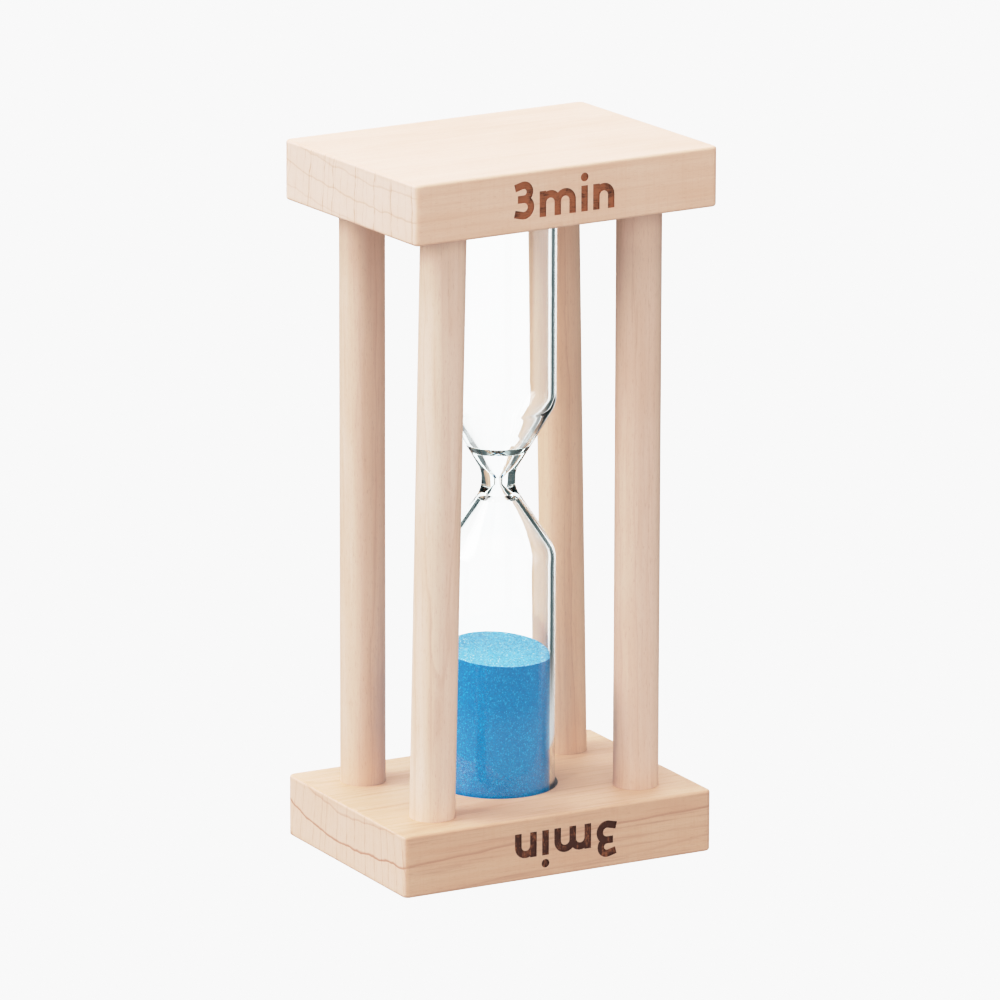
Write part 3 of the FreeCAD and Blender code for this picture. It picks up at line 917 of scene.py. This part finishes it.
# --- stage ---
def set_colour_management(scene):
    """Plain display of colours, and light that goes straight through the glass."""
    view = scene.view_settings
    view.view_transform = "Standard"
    view.look = "None"
    view.use_curve_mapping = True
    mapping = view.curve_mapping
    mapping.extend = "HORIZONTAL"
    curve = mapping.curves[3]
    curve.points[0].location = DISPLAY_CURVE[0]
    curve.points[1].location = DISPLAY_CURVE[-1]
    for x, y in DISPLAY_CURVE[1:-1]:
        curve.points.new(x, y)
    mapping.update()
    scene.cycles.caustics_refractive = False
    scene.cycles.caustics_reflective = False


def view_axes(stage):
    """Right, away and up directions of the set, seen from the camera."""
    right = Vector((math.cos(stage.azimuth), math.sin(stage.azimuth), 0.0))
    away = Vector((-math.sin(stage.azimuth), math.cos(stage.azimuth), 0.0))
    return right, away, Vector((0.0, 0.0, 1.0))


def studio_group(stage):
    """Brightness of the studio in one direction: a white sweep behind the set, dark
    flags on both sides of it, a white ceiling and a dim room behind the camera."""
    name = "Studio"
    if name in bpy.data.node_groups:
        return bpy.data.node_groups[name]
    bench, inside, result = start_group(
        name, [("Direction", VECTOR, (0.0, 0.0, 1.0)), ("Sweep", FLOAT, SWEEP),
               ("Flags", FLOAT, 0.02), ("Room", FLOAT, 0.05), ("Ceiling", FLOAT, 0.8),
               ("Clear", FLOAT, 0.0)],
        [("Color", COLOUR), ("Strength", FLOAT)])
    right, away, up = view_axes(stage)
    level = bench.vector("NORMALIZE", inside["Direction"])
    across = bench.vector("DOT_PRODUCT", level, tuple(right))
    side = bench.math("ABSOLUTE", across)
    back = bench.vector("DOT_PRODUCT", level, tuple(away))
    height = bench.vector("DOT_PRODUCT", level, tuple(up))
    bearing = bench.math("ARCTAN2", side, back)
    half_sweep, soft_edge = math.radians(22), math.radians(3)
    sweep = bench.ramp(bearing, half_sweep, half_sweep + soft_edge, 1.0, 0.0)
    room = bench.ramp(bearing, math.radians(62), math.radians(100))
    strength = bench.math("MULTIPLY_ADD", bench.math("SUBTRACT", inside["Room"], inside["Flags"]),
                          room, inside["Flags"])
    strength = bench.math("MULTIPLY_ADD", sweep, inside["Sweep"], strength)
    ceiling = bench.math("MULTIPLY", bench.ramp(height, 0.65, 0.9), inside["Ceiling"])
    ceiling = bench.math("MULTIPLY", ceiling, bench.ramp(across, -0.3, 0.5, 1.3, 0.45))
    strength = bench.math("MAXIMUM", strength, ceiling)
    near_floor = bench.math("MULTIPLY", bench.ramp(height, -0.35, -0.6), 0.16)
    strength = bench.math("MAXIMUM", strength, near_floor)
    strength = bench.math("MAXIMUM", strength, inside["Clear"])
    bench.feed(result.inputs["Strength"], strength)
    bench.feed(result.inputs["Color"],
               bench.blend(bench.ramp(strength, 0.02, 0.045), (0.45, 0.95, 1.0, 1.0), WHITE))
    return bench.tree


def ray_looks(bench):
    """Strength of the sweep, weaker as a light on matt pieces than as a sight, and of
    what shows straight through both walls of the glass, from every side."""
    path = bench.add("ShaderNodeLightPath").outputs
    sweep = bench.math("MULTIPLY_ADD", path["Is Diffuse Ray"], SWEEP_ON_MATT - SWEEP, SWEEP)
    both_walls = bench.math("GREATER_THAN", path["Transmission Depth"], 3.5)
    through = bench.math("MULTIPLY", path["Is Transmission Ray"], both_walls)
    return path["Is Camera Ray"], sweep, bench.math("MULTIPLY", through, SEEN_THROUGH)


def show_studio(bench, stage, kind, end, direction, **looks):
    """Surface that the camera sees as the plain backdrop and all else as the studio."""
    seen, sweep, clear = ray_looks(bench)
    glow = bench.group(studio_group(stage), Direction=direction, Sweep=sweep, Clear=clear, **looks)
    shaped = bench.add(kind, {"Color": glow["Color"], "Strength": glow["Strength"]})
    plain = bench.add(kind, {"Color": WHITE, "Strength": stage.backdrop})
    mix = bench.add("ShaderNodeMixShader", {0: seen, 1: shaped.outputs[0], 2: plain.outputs[0]})
    bench.feed(bench.add(end).inputs["Surface"], mix.outputs[0])


def make_floor(stage):
    """Plain pale floor that shows as the backdrop and glows like the studio round it."""
    data = bpy.data.meshes.new("floor")
    side, level = 6.0, -0.02 * MM
    corners = [(-side, -side, level), (side, -side, level), (side, side, level), (-side, side, level)]
    data.from_pydata(corners, [], [(0, 1, 2, 3)])
    floor = add_object("floor", data)
    material = bpy.data.materials.new("pale_floor")
    material.use_nodes = True
    material.node_tree.nodes.clear()
    bench = Bench(material.node_tree)
    place = bench.add("ShaderNodeTexCoord").outputs["Object"]
    away = bench.vector("SUBTRACT", place, (0.0, 0.0, 0.06))
    show_studio(bench, stage, "ShaderNodeEmission", "ShaderNodeOutputMaterial", away,
                Room=0.10, Flags=0.03)
    data.materials.append(material)


def make_world(scene, stage):
    """Backdrop of one plain tone, with the shaped studio round it."""
    world = bpy.data.worlds.new("studio")
    scene.world = world
    world.use_nodes = True
    world.node_tree.nodes.clear()
    bench = Bench(world.node_tree)
    direction = bench.add("ShaderNodeTexCoord").outputs["Generated"]
    show_studio(bench, stage, "ShaderNodeBackground", "ShaderNodeOutputWorld", direction)


def soft_box(name, stage, where, size, watts, tone=(1.0, 1.0, 1.0), mirrored=True):
    """Soft area light at (right, away, up) metres from the timer's middle, facing it.
    Unless it is mirrored, the glass doesn't show it."""
    right, away, up = view_axes(stage)
    data = bpy.data.lights.new(name, "AREA")
    data.shape = "RECTANGLE"
    data.size, data.size_y = size
    data.energy = watts
    data.color = tone
    lamp = add_object(name, data)
    lamp.visible_glossy = lamp.visible_transmission = mirrored
    lamp.location = TIMER_MIDDLE + right * where[0] + away * where[1] + up * where[2]
    lamp.rotation_euler = (TIMER_MIDDLE - lamp.location).to_track_quat("-Z", "Y").to_euler()


def make_lights(stage):
    """A large soft box high on the left, a weaker one on the right and a broad fill
    from the front."""
    soft_box("key_box", stage, (-0.75, -0.15, 0.42), (0.4, 0.5), 1.65, (1.0, 0.985, 0.965))
    soft_box("side_box", stage, (0.85, -0.10, 0.30), (0.3, 0.6), 0.2)
    soft_box("fill_box", stage, (0.35, -1.0, 0.35), (1.0, 0.8), 1.5, mirrored=False)


def make_camera(scene, stage):
    """Camera that stands off at the set angles and looks at the timer's middle."""
    data = bpy.data.cameras.new("camera")
    data.lens = stage.lens
    data.sensor_width = 36.0
    data.clip_start = 0.05
    camera = add_object("camera", data)
    right, away, up = view_axes(stage)
    stand = -away * math.cos(stage.elevation) + up * math.sin(stage.elevation)
    turn = Euler((math.pi / 2 - stage.tilt, 0.0, stage.azimuth)).to_matrix()
    turn = turn @ Matrix.Rotation(stage.roll, 3, "Z")
    camera.matrix_world = Matrix.Translation(TIMER_MIDDLE + stand * stage.distance) @ turn.to_4x4()
    scene.camera = camera


# --- panel and registration ---
OPERATORS = (TIMER_OT_plates, TIMER_OT_posts, TIMER_OT_glass, TIMER_OT_sand, TIMER_OT_bung,
             TIMER_OT_pads, TIMER_OT_stage)
GROUPS = (TimberSettings, GlassSettings, SandSettings, StageSettings, TimerSettings)


class TIMER_PT_finish(bpy.types.Panel):
    """Sidebar panel with one button for each step"""
    bl_label = "Sand Timer"
    bl_idname = "TIMER_PT_finish"
    bl_space_type = "VIEW_3D"
    bl_region_type = "UI"
    bl_category = "Sand Timer"

    def draw(self, context):
        for operator in OPERATORS:
            self.layout.operator(operator.bl_idname)


def register():
    for cls in GROUPS + OPERATORS + (TIMER_PT_finish,):
        bpy.utils.register_class(cls)
    bpy.types.Scene.sand_timer = bpy.props.PointerProperty(type=TimerSettings)


def unregister():
    del bpy.types.Scene.sand_timer
    for cls in reversed(GROUPS + OPERATORS + (TIMER_PT_finish,)):
        bpy.utils.unregister_class(cls)


def main():
    """Registers the add-on and makes every piece and the stage."""
    register()
    bpy.ops.timer.plates()
    bpy.ops.timer.posts()
    bpy.ops.timer.glass()
    bpy.ops.timer.sand()
    bpy.ops.timer.bung()
    bpy.ops.timer.pads()
    bpy.ops.timer.stage()


if __name__ == "__main__":
    main()
